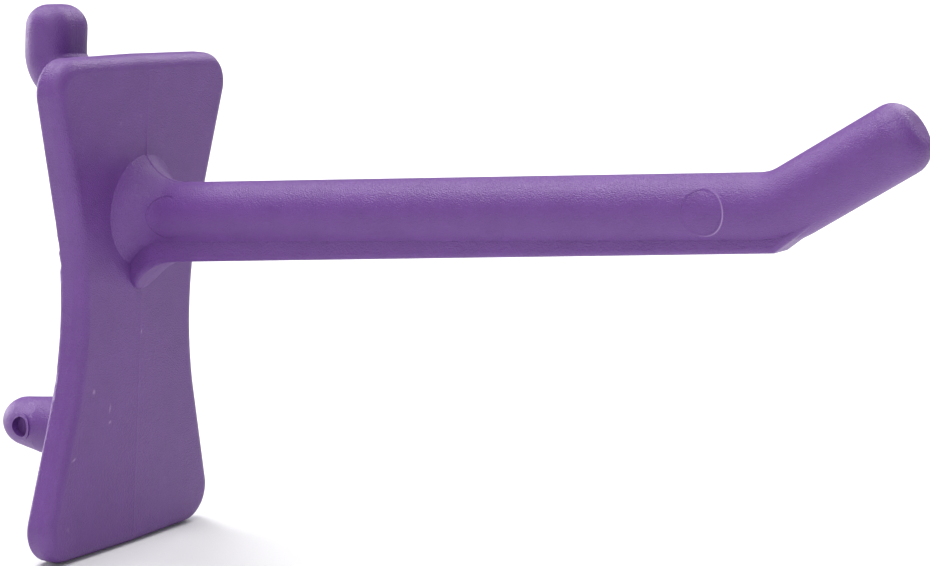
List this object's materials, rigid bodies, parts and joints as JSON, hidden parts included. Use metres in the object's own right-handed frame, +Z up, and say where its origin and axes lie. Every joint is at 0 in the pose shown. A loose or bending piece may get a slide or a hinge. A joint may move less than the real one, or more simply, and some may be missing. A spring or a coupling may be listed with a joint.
{
  "type": "pegboard hook",
  "caption": "Moulded plastic hook for perforated board: hourglass back plate, rising round arm with a rib below and an upturned tip, and a peg and bent finger behind.",
  "frame": {"origin": "middle of the plate's back face, where it lies on the board", "axes": "+X out of the board along the arm, +Z up the board, Y = 0 on the mould's parting plane"},
  "size_m": [0.0733, 0.0214, 0.0412],
  "materials": {
    "purple_plastic": "moulded in one colour, fine matt grain, slightly scuffed"
  },
  "bodies": {
    "root": {"hook": "purple_plastic"}
  },
  "joints": []
}
